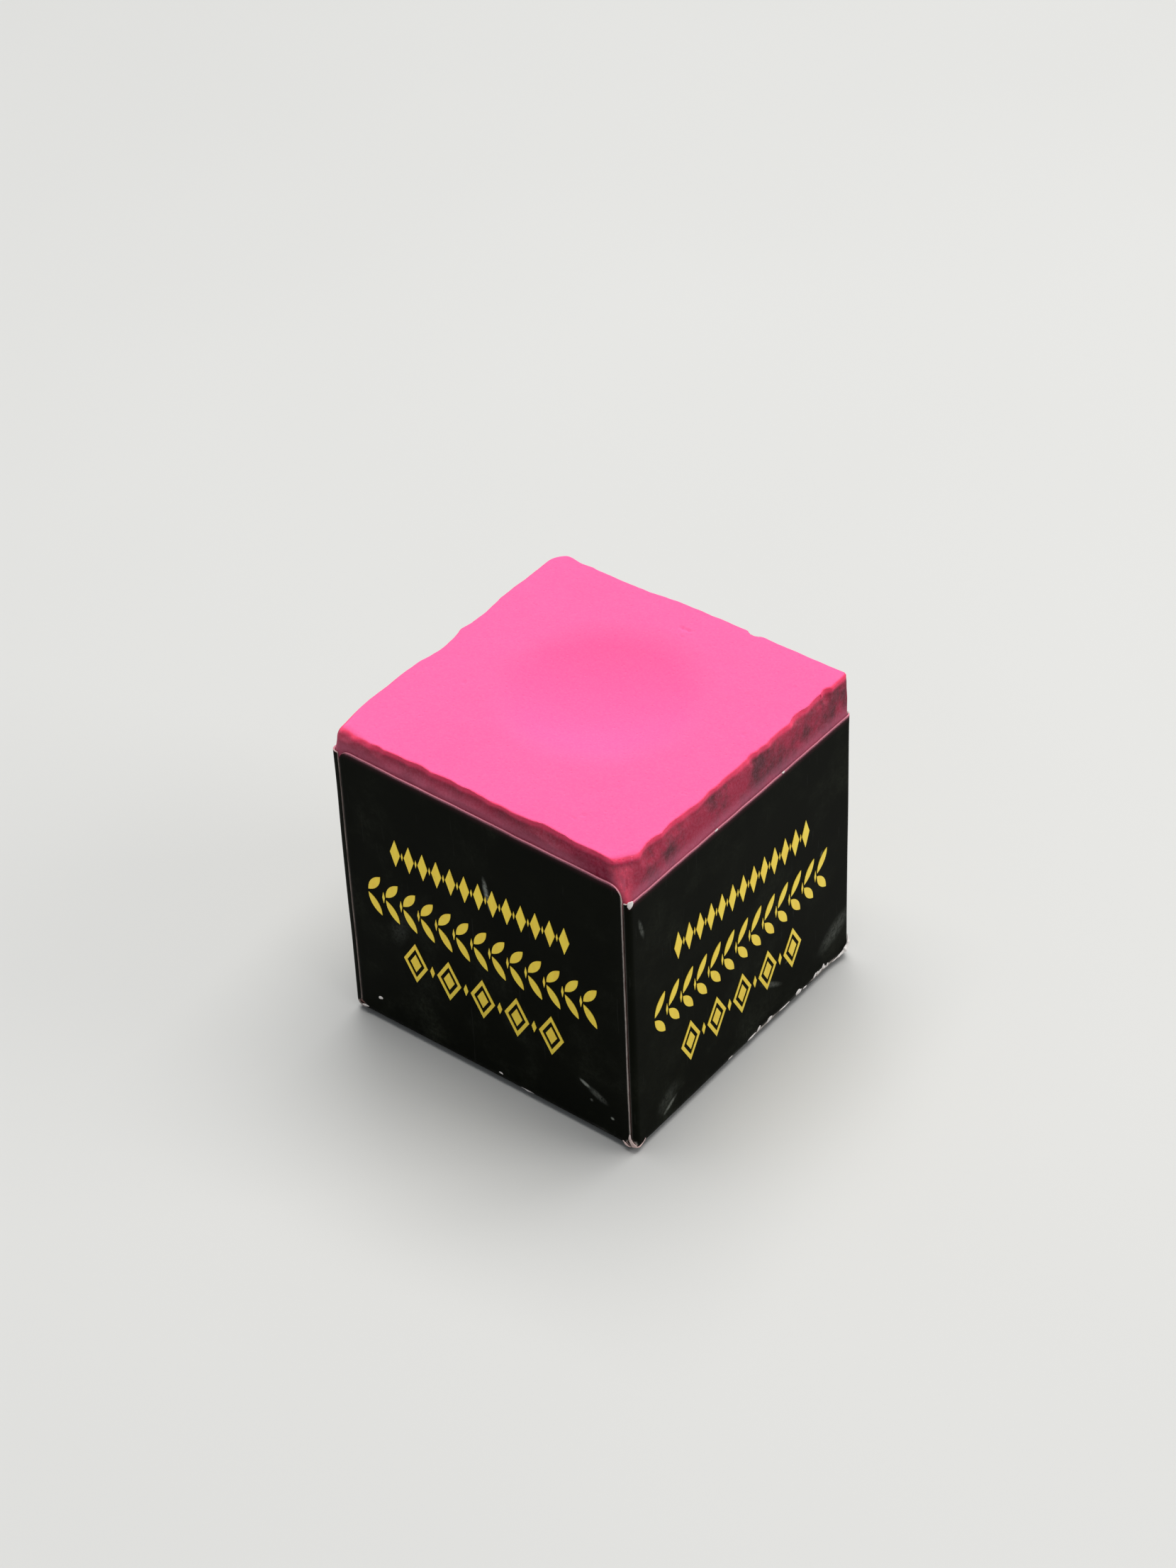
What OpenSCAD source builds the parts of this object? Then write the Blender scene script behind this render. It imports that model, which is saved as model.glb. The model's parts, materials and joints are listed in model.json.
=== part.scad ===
// Billiard cue chalk cube: a pressed chalk block glued into one folded paper label, which carries
// a gold foil ornament on each side.
// Z is up and the origin is the centre of the base, on the face that the cube rests on.
// The front is -Y. Sides are counted from the front, anticlockwise seen from above:
// 0 front (-Y), 1 right (+X), 2 back (+Y), 3 left (-X).

/* [Cube] */
// Width over the paper, the same both ways
cube_w = 22.2; // [20:0.1:30]
// Height from the label's base to the top of the chalk
cube_h = 22.5; // [21.9:0.1:30]

/* [Chalk block] */
// Radius of the block's upright edges
upright_edge_r = 0.25; // [0.1:0.05:1.5]
// Radius of the block's bottom edges
bottom_edge_r = 0.7; // [0.2:0.05:2]
// Diameter of the shallow dish in the top
dish_d = 12; // [4:0.5:16]
// Depth of the dish
dish_depth = 0.8; // [0.2:0.1:3]
// How far the dish lies to the right of the block's middle
dish_shift = 1; // [-2:0.1:2]

/* [Paper label] */
// Thickness of the paper
paper_t = 0.1; // [0.05:0.01:0.3]
// Thickness of the glue under the paper
glue_t = 0.05; // [0.02:0.01:0.15]
// Mean height of the four side flaps
flap_h = 20.3; // [18:0.1:20.5]
// Offset of the label to the left, which raises the left flap and lowers the right one
label_shift_left = 0.7; // [-1:0.1:1]
// Offset of the label to the back, which raises the back flap and lowers the front one
label_shift_back = 0.7; // [-1:0.1:1]
// Turn of the label on the block in degrees, which slopes each flap's top edge down to its right
label_turn = 0.9; // [0:0.1:2]
// Radius of the top corners of the left and right flaps
flap_corner_r = 0.9; // [0.2:0.1:2]
// How far the front flap wraps round onto the left and right sides
front_wrap = 0.4; // [0.4:0.05:1.5]
// How far the back flap wraps round onto the left and right sides
back_wrap = 0.6; // [0.4:0.05:1.5]
// Width of the open joint between two flaps
joint_w = 0.1; // [0.06:0.01:0.3]
// How far the glue stops below the lowest flap
glue_margin = 0.8; // [0.4:0.1:3]

/* [Gold print] */
// Thickness of the foil
foil_t = 0.03; // [0.02:0.01:0.1]
// Turn of the rows in degrees, down to the right
print_turn = 1.4; // [0:0.1:3]
// Number of diamonds in the top row
top_row_count = 13; // [5:1:15]
// Width of the top row
top_row_w = 13.6; // [8:0.1:18]
// Height of the top row
top_row_h = 2.1; // [1:0.1:2.6]
// Number of pairs of leaves in the middle row
middle_row_count = 13; // [5:1:15]
// Width of the middle row
middle_row_w = 17.5; // [8:0.1:18]
// Height of the middle row
middle_row_h = 3.1; // [1:0.1:3.6]
// Number of diamonds in the bottom row
bottom_row_count = 5; // [3:1:9]
// Width of the bottom row
bottom_row_w = 12.4; // [8:0.1:18]
// Height of the bottom row
bottom_row_h = 3.2; // [1:0.1:3.6]
// Distance from a flap's top edge down to the middle of the top row
print_drop = 6.2; // [5:0.1:7]
// Distance between the middles of two rows
row_pitch = 4.15; // [4:0.05:4.5]

/* [Hidden] */

$fn = 48;

// The label's skin is the paper and the glue under it
skin_t = paper_t + glue_t;
block_w = cube_w - 2 * skin_t;
lowest_flap_h = flap_h - max(abs(label_shift_left), abs(label_shift_back));
glue_top = lowest_flap_h - glue_margin;

// Clearance by which cutting shapes run past what they cut
over = 1;

// Width of a motif as a share of the motifs' pitch in its row
motif_share = 0.72;
// Size of a small diamond: its width as a share of its gap, and its height as a share of the row's
bead_share = 0.5;
bead_height_share = 0.3;
// Outside and inside of the groove that parts a motif's outline from its core, as shares of the motif
inlay_outside = 0.72;
inlay_inside = 0.45;
// Width of a leaf as a share of the pitch of the pairs, how far it leans from upright in degrees, and
// how far it starts from the row's middle line
leaf_share = 0.42;
leaf_lean = 35;
leaf_start = 0.12;

// How much higher each side's flap is than their mean, in the order of the sides
flap_rise = [-label_shift_back, -label_shift_left, label_shift_back, label_shift_left];

// Height of a side's flap at its middle
function flap_top(side) = flap_h + flap_rise[side];

// Radius of the sphere that cuts a dish of diameter d and depth h
function cap_radius(d, h) = (d * d / 4 + h * h) / (2 * h);

// Square with round corners, centred
module rounded_square(w, r) {
    square([w, w - 2 * r], center = true);
    square([w - 2 * r, w], center = true);
    for (x = [-1, 1], y = [-1, 1])
        translate([x * (w / 2 - r), y * (w / 2 - r)])
            circle(r);
}

// Side view of a box of width w from z0 up to z1, with its two bottom corners rounded
module box_outline(w, z0, z1, r) {
    translate([-w / 2, z0 + r])
        square([w, z1 - z0 - r]);
    translate([-w / 2 + r, z0])
        square([w - 2 * r, z1 - z0]);
    for (x = [-1, 1])
        translate([x * (w / 2 - r), z0 + r])
            circle(r);
}

// Box from z0 up to z1 that stands off the chalk block by the distance off on every side and below
module offset_box(off, z1) {
    w = block_w + 2 * off;
    z0 = skin_t - off;
    intersection() {
        translate([0, 0, z0 - over])
            linear_extrude(z1 - z0 + over)
                rounded_square(w, upright_edge_r + off);
        intersection_for(turn = [0, 90])
            rotate([0, 0, turn])
                rotate([90, 0, 0])
                    linear_extrude(w + 2 * over, center = true)
                        box_outline(w, z0, z1, bottom_edge_r + off);
    }
}

// Moves children drawn flat, with +Y up, onto the outside of a side at the height z
module on_side(side, z) {
    rotate([0, 0, 90 * side])
        translate([0, -cube_w / 2, z])
            rotate([90, 0, 0])
                children();
}

// What is cut away above and beside a flap that runs from x0 to x1, with its top edge at y = 0
module flap_waste(x0, x1, corner_r) {
    difference() {
        translate([x0 - over, -corner_r])
            square([x1 - x0 + 2 * over, cube_h]);
        translate([x0 + corner_r, -2 * corner_r])
            square([x1 - x0 - 2 * corner_r, 2 * corner_r]);
        for (x = [x0 + corner_r, x1 - corner_r])
            translate([x, -corner_r])
                circle(corner_r);
    }
}

// Cuts the front or back flap to height, as far as it wraps round the upright edges
module wide_flap_cut(side, wrap) {
    on_side(side, flap_top(side))
        rotate(-label_turn)
            translate([-cube_w, 0, -wrap])
                cube([2 * cube_w, cube_h, wrap + over]);
}

// Cuts the left or right flap to height between its joints, and rounds its top corners
module narrow_flap_cut(side, x0, x1) {
    on_side(side, flap_top(side))
        translate([0, 0, -over])
            linear_extrude(2 * over)
                intersection() {
                    rotate(-label_turn)
                        flap_waste(x0, x1, flap_corner_r);
                    translate([x0, -cube_h])
                        square([x1 - x0, 2 * cube_h]);
                }
}

// Opens the joints on the left and right sides at a given Y, from the bottom fold upwards
module joint_cut(y) {
    translate([-cube_w, y - joint_w / 2, bottom_edge_r + skin_t])
        cube([2 * cube_w, joint_w, cube_h]);
}

// Upright diamond
module diamond(w, h) {
    polygon([[0, h / 2], [w / 2, 0], [0, -h / 2], [-w / 2, 0]]);
}

// Upright leaf with two pointed ends
module leaf(w, h) {
    r = (w * w + h * h) / (4 * w);
    intersection_for(x = [-1, 1])
        translate([x * (r - w / 2), 0])
            circle(r);
}

// Two leaves that spread up and down to the right from the row's middle line
module leaf_pair(pitch, h) {
    length = (h / 2 - leaf_start) / cos(leaf_lean);
    for (flip = [0, 1])
        mirror([0, flip])
            translate([-length * sin(leaf_lean) / 2, leaf_start])
                rotate(-leaf_lean)
                    translate([0, length / 2])
                        leaf(leaf_share * pitch, length);
}

// The outline and the core of a motif, its child
module inlaid() {
    difference() {
        children();
        scale(inlay_outside)
            children();
    }
    scale(inlay_inside)
        children();
}

// Distance between the middles of the motifs in a row
function motif_pitch(row_w, count) = row_w / (count - 1 + motif_share);

// Row of evenly spaced motifs, the children, with a small diamond between each two
module ornament_row(row_w, row_h, count) {
    pitch = motif_pitch(row_w, count);
    for (i = [0:count - 1])
        translate([i * pitch - (row_w - motif_share * pitch) / 2, 0])
            children();
    for (i = [1:count - 1])
        translate([(i - count / 2) * pitch, 0])
            diamond(bead_share * (1 - motif_share) * pitch, bead_height_share * row_h);
}

// The whole ornament of one side, hung from the middle of its flap's top edge
module ornament() {
    translate([0, -print_drop])
        ornament_row(top_row_w, top_row_h, top_row_count)
            diamond(motif_share * motif_pitch(top_row_w, top_row_count), top_row_h);
    translate([0, -print_drop - row_pitch])
        ornament_row(middle_row_w, middle_row_h, middle_row_count)
            leaf_pair(motif_pitch(middle_row_w, middle_row_count), middle_row_h);
    translate([0, -print_drop - 2 * row_pitch])
        ornament_row(bottom_row_w, bottom_row_h, bottom_row_count)
            inlaid()
                diamond(motif_share * motif_pitch(bottom_row_w, bottom_row_count), bottom_row_h);
}

// Foil ornament on one side
module gold_print(side) {
    color("#d9b83c")
        on_side(side, flap_top(side))
            linear_extrude(foil_t)
                rotate(-print_turn)
                    ornament();
}

// Pressed block of chalk with its dish
module chalk_block() {
    dish_r = cap_radius(dish_d, dish_depth);
    color("#ff6fb0")
        difference() {
            offset_box(0, cube_h);
            translate([dish_shift, 0, cube_h - dish_depth + dish_r])
                sphere(dish_r);
        }
}

// Film of glue between the block and the paper
module glue_film() {
    color("#e8dfc8")
        difference() {
            offset_box(glue_t, glue_top);
            offset_box(0, cube_h);
        }
}

// One cross-shaped sheet: a base panel and four flaps folded up
module paper_label() {
    color("#12150c")
        difference() {
            offset_box(skin_t, cube_h);
            offset_box(glue_t, cube_h + over);
            wide_flap_cut(0, front_wrap);
            wide_flap_cut(2, back_wrap);
            narrow_flap_cut(1, front_wrap - cube_w / 2, cube_w / 2 - back_wrap);
            narrow_flap_cut(3, back_wrap - cube_w / 2, cube_w / 2 - front_wrap);
            joint_cut(front_wrap - cube_w / 2);
            joint_cut(cube_w / 2 - back_wrap);
        }
}

module gold_print_front() {
    gold_print(0);
}

module gold_print_right() {
    gold_print(1);
}

module gold_print_back() {
    gold_print(2);
}

module gold_print_left() {
    gold_print(3);
}

chalk_block();
glue_film();
paper_label();
gold_print_front();
gold_print_right();
gold_print_back();
gold_print_left();
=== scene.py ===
"""The looks of a billiard cue chalk cube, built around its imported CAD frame.

Every length is in metres and every place is worked out from the frame. Sides are counted as in the
CAD: 0 front (-Y), 1 right (+X), 2 back (+Y) and 3 left (-X). A side's own axis u runs to the right
as the side is seen from outside.
"""

import itertools
import json
import math

import bmesh
import bpy
import numpy as np
from mathutils import Matrix, Vector


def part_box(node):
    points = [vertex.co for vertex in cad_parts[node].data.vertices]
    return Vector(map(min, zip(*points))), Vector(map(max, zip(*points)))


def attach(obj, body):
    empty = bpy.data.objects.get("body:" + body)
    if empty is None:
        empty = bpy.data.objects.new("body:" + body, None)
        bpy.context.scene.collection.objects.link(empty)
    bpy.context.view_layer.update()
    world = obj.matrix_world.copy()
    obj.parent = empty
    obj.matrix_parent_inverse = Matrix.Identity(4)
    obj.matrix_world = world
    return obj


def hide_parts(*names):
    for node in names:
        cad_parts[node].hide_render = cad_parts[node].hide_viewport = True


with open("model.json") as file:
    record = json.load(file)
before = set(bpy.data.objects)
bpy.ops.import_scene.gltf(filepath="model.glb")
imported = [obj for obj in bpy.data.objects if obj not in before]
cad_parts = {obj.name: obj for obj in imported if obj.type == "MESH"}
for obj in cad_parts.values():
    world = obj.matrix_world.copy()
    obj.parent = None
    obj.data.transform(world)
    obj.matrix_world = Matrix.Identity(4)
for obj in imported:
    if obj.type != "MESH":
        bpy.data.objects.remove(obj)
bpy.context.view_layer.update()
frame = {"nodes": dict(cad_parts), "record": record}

MM = 0.001
# Points closer together than this are one point
TOUCHING = 0.001 * MM

# ---------------------------------------------------------------- sizes taken from the frame

LABEL_LOW, LABEL_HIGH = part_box("paper_label")
BLOCK_LOW, BLOCK_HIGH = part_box("chalk_block")
GLUE_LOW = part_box("glue_film")[0]
LABEL_HALF = LABEL_HIGH.x
BLOCK_HALF = BLOCK_HIGH.x
CUBE_TOP = BLOCK_HIGH.z
BLOCK_BASE = BLOCK_LOW.z
PAPER_T = GLUE_LOW.z - LABEL_LOW.z
GLUE_T = BLOCK_LOW.z - GLUE_LOW.z
SKIN_T = PAPER_T + GLUE_T
DISH = next(m for m in frame["record"]["mounts"] if m["name"] == "cue_tip_dish")
DISH_CENTRE = np.array(DISH["pos_m"])
DISH_R = DISH["dims"]["r_mm"] * MM

# The edges and the label's joints, as the CAD has them
UPRIGHT_EDGE_R = 0.25 * MM
BOTTOM_EDGE_R = 0.7 * MM
FRONT_WRAP = 0.4 * MM
BACK_WRAP = 0.6 * MM
JOINT_W = 0.1 * MM
FLAP_CORNER_R = 0.9 * MM

FRONT, RIGHT, BACK, LEFT = range(4)
OUTWARD = np.array([(0, -1, 0), (1, 0, 0), (0, 1, 0), (-1, 0, 0)], float)
ALONG = np.array([(1, 0, 0), (0, 1, 0), (-1, 0, 0), (0, -1, 0)], float)
UP = np.array((0, 0, 1), float)


def place_on_label(side, share_u, share_z):
    """The point at shares of the cube's width along a side of the label and above its base."""
    across = 2 * LABEL_HALF
    return OUTWARD[side] * LABEL_HALF + ALONG[side] * (share_u - 0.5) * across + UP * share_z * across


# ---------------------------------------------------------------- numeric helpers

# Cells each way before the noise repeats
LATTICE = 32


def smooth_noise(points, size, seed):
    """Random values between -1 and 1 that vary smoothly over about the given size."""
    lattice = np.random.default_rng(seed).uniform(-1, 1, (LATTICE,) * 3)
    cell = np.floor(points / size).astype(int)
    share = points / size - cell
    share = share * share * (3 - 2 * share)
    total = np.zeros(len(points))
    for corner in itertools.product((0, 1), repeat=3):
        weight = np.prod(np.where(corner, share, 1 - share), axis=1)
        i, j, k = ((cell + corner) % LATTICE).T
        total += weight * lattice[i, j, k]
    return total


def layered_noise(points, size, seed, layers):
    """Smooth noise with finer and weaker layers added to it."""
    return sum(smooth_noise(points, size / 2**n, seed + n) / 2**n for n in range(layers))


def smooth_max(a, b, blend):
    """The larger of a and b, rounded over the length blend where they cross."""
    share = np.clip(0.5 + 0.5 * (a - b) / blend, 0, 1)
    return b + (a - b) * share + blend * share * (1 - share)


def ramp(values, start, end):
    """0 before start and 1 after end, with a smooth climb between them."""
    t = np.clip((values - start) / (end - start), 0, 1)
    return t * t * (3 - 2 * t)


def bump_at(values, centre, width):
    """A bell curve of height 1 at centre."""
    return np.exp(-(((values - centre) / width) ** 2))


def near(points, place, reach):
    """1 at a place, falling to 0 over about the given reach."""
    return bump_at(np.linalg.norm(points - place, axis=1), 0, reach)


def rounded_corner(a, b, r):
    """Distance outside a corner of radius r, from the distances a and b outside its two sides."""
    inner = np.minimum(np.maximum(a + r, b + r), 0)
    return inner + np.hypot(np.maximum(a + r, 0), np.maximum(b + r, 0)) - r


def box_distance(p, half, base, top, upright_r, bottom_r, top_r):
    """Distance outside a box of that half width with rounded edges."""
    sides = rounded_corner(np.abs(p[:, 0]) - half, np.abs(p[:, 1]) - half, upright_r)
    bottom = rounded_corner(sides, base - p[:, 2], bottom_r)
    return np.maximum(bottom, rounded_corner(sides, p[:, 2] - top, top_r))


def settle(points, distance, rounds):
    """Moves points onto the surface where distance is zero."""
    step = 0.004 * MM
    # The squared slope is taken to be at least this, so that no point jumps where the slope fades
    least = 0.3
    for _ in range(rounds):
        d = distance(points)
        slope = np.stack([(distance(points + h) - d) / step for h in np.eye(3) * step], axis=1)
        points = points - slope * (d / np.maximum((slope**2).sum(axis=1), least))[:, None]
    return points


def surface_normals(points, distance, step=0.01 * MM):
    """Outward directions of a distance function at points, averaged over the length step."""
    slope = np.stack([distance(points + h) - distance(points - h) for h in np.eye(3) * step], axis=1)
    above_zero = 1e-12
    return slope / np.maximum(np.linalg.norm(slope, axis=1), above_zero)[:, None]


def smooth_path(points, count):
    """Evenly many points along a smooth curve (Catmull-Rom) through the given ones."""
    ends = (2 * points[:1] - points[1:2], points, 2 * points[-1:] - points[-2:-1])
    padded = np.concatenate(ends)
    just_short_of_last = len(points) - 1.001
    path = []
    for at in np.linspace(0, just_short_of_last, count):
        i = int(at)
        t = at - i
        a, b, c, d = padded[i : i + 4]
        bend = (2 * a - 5 * b + 4 * c - d) * t**2 + (3 * b - a - 3 * c + d) * t**3
        path.append(b + ((c - a) * t + bend) / 2)
    return np.array(path)


def edge_dense(half, count):
    """Coordinates from -half to half that lie closer together near both ends."""
    even_share = 0.4
    t = np.linspace(-1, 1, count)
    return half * (even_share * t + (1 - even_share) * np.sin(t * math.pi / 2))


# ---------------------------------------------------------------- mesh helpers


def ring_of_sides(coordinates):
    """The outline of a square, as plan points and their sides, from one list of u for each side."""
    plan, sides = [], []
    for side, us in enumerate(coordinates):
        for u in us[:-1]:
            plan.append(OUTWARD[side] * us[-1] + ALONG[side] * u)
            sides.append(side)
    return np.array(plan), np.array(sides)


def ring_faces(first, second, count, skip=()):
    """Quads between two closed rows of count points each."""
    return [
        (first + i, first + (i + 1) % count, second + (i + 1) % count, second + i)
        for i in range(count)
        if i not in skip
    ]


def add_object(name, data):
    """A new object in the scene that holds the given mesh, light or camera."""
    made = bpy.data.objects.new(name, data)
    bpy.context.scene.collection.objects.link(made)
    return made


def mesh_object(name, points, faces, materials):
    """A new smooth-shaded object from points and faces."""
    mesh = bpy.data.meshes.new(name)
    mesh.from_pydata([tuple(p) for p in points], [], faces)
    mesh.validate()
    mesh.shade_smooth()
    for material in materials:
        mesh.materials.append(material)
    return add_object(name, mesh)


def weld(made, distance):
    """Joins points of a mesh that lie closer than distance."""
    work = bmesh.new()
    work.from_mesh(made.data)
    bmesh.ops.remove_doubles(work, verts=work.verts, dist=distance)
    bmesh.ops.recalc_face_normals(work, faces=work.faces)
    work.to_mesh(made.data)
    work.free()


def points_of(made):
    """The vertex positions of a mesh as an array."""
    flat = np.zeros(len(made.data.vertices) * 3)
    made.data.vertices.foreach_get("co", flat)
    return flat.reshape(-1, 3)


def move_points(made, points):
    """Sets the vertex positions of a mesh."""
    made.data.vertices.foreach_set("co", points.reshape(-1))
    made.data.update()


def store(made, name, values):
    """Keeps one number for each vertex, for the material to read."""
    layer = made.data.attributes.new(name, "FLOAT", "POINT")
    layer.data.foreach_set("value", values.astype(np.float32))


# ---------------------------------------------------------------- the label's lines in the CAD


def flap_line(side):
    """Height of a flap's top edge at the middle of its side, and how much it rises for each metre of u."""
    points = points_of(frame["nodes"]["paper_label"])
    tolerance = 0.01 * MM
    on_face = points[points @ OUTWARD[side] > LABEL_HALF - tolerance]
    u, z = on_face @ ALONG[side], on_face[:, 2]
    # Steeper than any flap's top edge, but flatter than its rounded corners
    steepest = 0.02
    left = np.argmax(z - steepest * u)
    right = np.argmax(z + steepest * u)
    rise = (z[right] - z[left]) / (u[right] - u[left])
    return z[left] - rise * u[left], rise


FLAP_LINES = [flap_line(side) for side in range(4)]


def height_over_label(p):
    """Height of points above the top edge of the flap on their own side."""
    nearest = np.argmax(p @ OUTWARD.T, axis=1)
    lines = np.array(FLAP_LINES)[nearest]
    return p[:, 2] - lines[:, 0] - lines[:, 1] * (p * ALONG[nearest]).sum(axis=1)


# ---------------------------------------------------------------- node helpers


class Nodes:
    """Builds a material's node tree with short calls."""

    def __init__(self, name):
        self.material = bpy.data.materials.new(name)
        self.material.use_nodes = True
        self.tree = self.material.node_tree
        self.shader = self.tree.nodes["Principled BSDF"]
        self.place = self.add("ShaderNodeTexCoord").outputs["Object"]

    def add(self, kind, **settings):
        node = self.tree.nodes.new(kind)
        for key, value in settings.items():
            setattr(node, key, value)
        return node

    def feed(self, socket, value):
        """Links an output to a socket, or sets the socket to a plain value."""
        if isinstance(value, bpy.types.NodeSocket):
            self.tree.links.new(value, socket)
        else:
            socket.default_value = value

    def noise(self, size, detail=4.0, roughness=0.55, stretch=None):
        """Noise from 0 to 1 with features of the given size in metres."""
        node = self.add("ShaderNodeTexNoise")
        place = self.place
        if stretch:
            mapping = self.add("ShaderNodeMapping")
            mapping.inputs["Scale"].default_value = stretch
            self.feed(mapping.inputs["Vector"], place)
            place = mapping.outputs["Vector"]
        self.feed(node.inputs["Vector"], place)
        node.inputs["Scale"].default_value = 1 / size
        node.inputs["Detail"].default_value = detail
        node.inputs["Roughness"].default_value = roughness
        return node.outputs["Fac"]

    def cells(self, size, feature="F1"):
        """Distance within random cells of the given size in metres."""
        node = self.add("ShaderNodeTexVoronoi", feature=feature)
        self.feed(node.inputs["Vector"], self.place)
        node.inputs["Scale"].default_value = 1 / size
        return node.outputs["Distance"]

    def stored(self, name):
        return self.add("ShaderNodeAttribute", attribute_name=name).outputs["Fac"]

    def math(self, operation, a, b=0.0):
        node = self.add("ShaderNodeMath", operation=operation)
        self.feed(node.inputs[0], a)
        self.feed(node.inputs[1], b)
        return node.outputs[0]

    def times(self, a, b):
        return self.math("MULTIPLY", a, b)

    def band(self, value, start, end, low=0.0, high=1.0):
        """Maps start..end to low..high smoothly, and holds the ends."""
        node = self.add("ShaderNodeMapRange", interpolation_type="SMOOTHSTEP")
        for socket, given in zip(node.inputs, (value, start, end, low, high)):
            self.feed(socket, given)
        return node.outputs["Result"]

    def mix(self, share, a, b):
        """Blend of the colours a and b."""
        node = self.add("ShaderNodeMix", data_type="RGBA")
        self.feed(node.inputs[0], share)
        self.feed(node.inputs[6], a)
        self.feed(node.inputs[7], b)
        return node.outputs[2]

    def bump(self, height, depth, strength=1.0, below=None):
        """Normal from a height map whose full range is depth metres."""
        node = self.add("ShaderNodeBump")
        self.feed(node.inputs["Height"], height)
        node.inputs["Distance"].default_value = depth
        node.inputs["Strength"].default_value = strength
        if below is not None:
            self.feed(node.inputs["Normal"], below)
        return node.outputs["Normal"]

    def finish(self, **inputs):
        """Feeds the shader's named inputs and returns the material."""
        for key, value in inputs.items():
            self.feed(self.shader.inputs[key.replace("_", " ")], value)
        return self.material


def colour(r, g, b):
    return (r, g, b, 1.0)


# ---------------------------------------------------------------- materials


def chalk_material():
    """Pressed pink chalk: powdery, finely grained and grimy on its sides, with painted shade on its sides,
    brim, dish and break and a painted highlight down the break.
    """
    n = Nodes("chalk")
    normal = n.add("ShaderNodeNewGeometry").outputs["Normal"]
    split = n.add("ShaderNodeSeparateXYZ")
    n.feed(split.inputs[0], normal)
    upward = split.outputs["Z"]
    mottle = n.noise(5 * MM, detail=5)
    grain = n.noise(0.16 * MM, detail=3, roughness=0.7)
    speck = n.cells(0.35 * MM)
    smudge = n.band(n.noise(2.4 * MM, detail=6, roughness=0.65, stretch=(1, 1, 0.7)), 0.4, 0.66)
    streaks = n.noise(0.5 * MM, detail=5, roughness=0.7, stretch=(1, 1, 0.35))
    clean_top = n.mix(mottle, colour(0.93, 0.145, 0.39), colour(0.91, 0.158, 0.415))
    # The dish is painted a touch darker and redder than the flat top: painted shade that tones down the
    # slope of the dish that catches the light.
    top = n.mix(n.stored("dish"), clean_top, colour(0.945, 0.138, 0.392))
    # The sides are painted far darker than the top: painted shade, along with some dirt.
    shaded_side = n.mix(mottle, colour(0.36, 0.028, 0.06), colour(0.5, 0.05, 0.1))
    grimy = n.mix(n.times(smudge, n.stored("grime")), shaded_side, colour(0.12, 0.038, 0.045))
    side = n.mix(n.times(n.stored("powder"), 0.55), grimy, colour(0.62, 0.17, 0.27))
    # Painted shade on the break: a dark band like a crack beside its middle and a small dark hollow under
    # the rim.
    dark = n.times(n.stored("break_shade"), n.band(streaks, 0.3, 0.6, 1.0, 0.6))
    break_shade = n.mix(dark, side, colour(0.3, 0.012, 0.045))
    # Painted highlight down the middle of the break, streaky.
    break_highlight = n.times(n.stored("break_highlight"), n.band(streaks, 0.35, 0.6, 0.35, 0.95))
    corner = n.mix(break_highlight, break_shade, colour(0.86, 0.1, 0.18))
    # Faces that point up take the top's colour; the rest take the sides' colour with its painted shade.
    body = n.mix(n.band(upward, 0.6, 0.9), corner, top)
    # Painted shade on the top's brim, where the rounded edge turns away from the light: a deeper, darker
    # red.
    rim = n.times(n.stored("rim"), n.band(mottle, 0.3, 0.6, 0.75, 1.0))
    rimmed = n.mix(rim, body, colour(1.0, 0.075, 0.19))
    grained = n.mix(n.band(grain, 0.3, 0.75, 0.0, 0.1), rimmed, colour(1.0, 0.42, 0.62))
    dotted = n.mix(n.band(speck, 0.0, 0.22, 0.12, 0.0), grained, colour(0.6, 0.05, 0.18))
    fine = n.bump(grain, 0.02 * MM, 0.6)
    pitted = n.bump(n.band(speck, 0.0, 0.3), 0.025 * MM, 0.5, below=fine)
    uneven = n.bump(mottle, 0.1 * MM, 0.3, below=pitted)
    rough = n.band(grain, 0.2, 0.8, 0.85, 1.0)
    return n.finish(
        Base_Color=dotted, Roughness=rough, Normal=uneven, Diffuse_Roughness=1.0, Specular_IOR_Level=0.1
    )


# Soft scuffs on the label: the side, the place along it and up it as shares of the cube's width, the
# length and width in millimetres, the degrees by which the length leans from level, and the strength
SCUFFS = [
    (LEFT, 0.52, 0.7, 1.6, 0.34, 98, 0.9),
    (LEFT, 0.53, 0.655, 0.8, 0.24, 94, 0.7),
    (LEFT, 0.83, 0.17, 0.75, 0.28, -25, 1.0),
    (LEFT, 0.87, 0.15, 1.4, 0.5, -25, 0.3),
    (LEFT, 0.92, 0.09, 0.24, 0.22, 0, 0.9),
    (LEFT, 0.85, 0.12, 0.22, 0.2, 0, 0.4),
    (LEFT, 0.2, 0.4, 2.6, 1.2, 70, 0.08),
    (FRONT, 0.05, 0.78, 1.4, 0.3, 105, 0.3),
    (FRONT, 0.15, 0.07, 1.3, 0.3, 30, 0.55),
    (FRONT, 0.14, 0.1, 2.0, 1.1, 35, 0.1),
    (FRONT, 0.7, 0.19, 0.5, 0.14, 10, 0.35),
    (FRONT, 0.62, 0.16, 2.2, 0.36, -35, 0.3),
    (FRONT, 0.93, 0.14, 3.2, 1.3, 25, 0.2),
    (FRONT, 0.86, 0.47, 0.4, 0.24, 60, 0.25),
    (RIGHT, 0.2, 0.5, 2.2, 0.3, 60, 0.5),
    (RIGHT, 0.7, 0.2, 1.2, 0.3, 20, 0.6),
    (BACK, 0.6, 0.62, 1.8, 0.3, 110, 0.5),
    (BACK, 0.25, 0.16, 1.0, 0.3, -15, 0.6),
]


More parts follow.
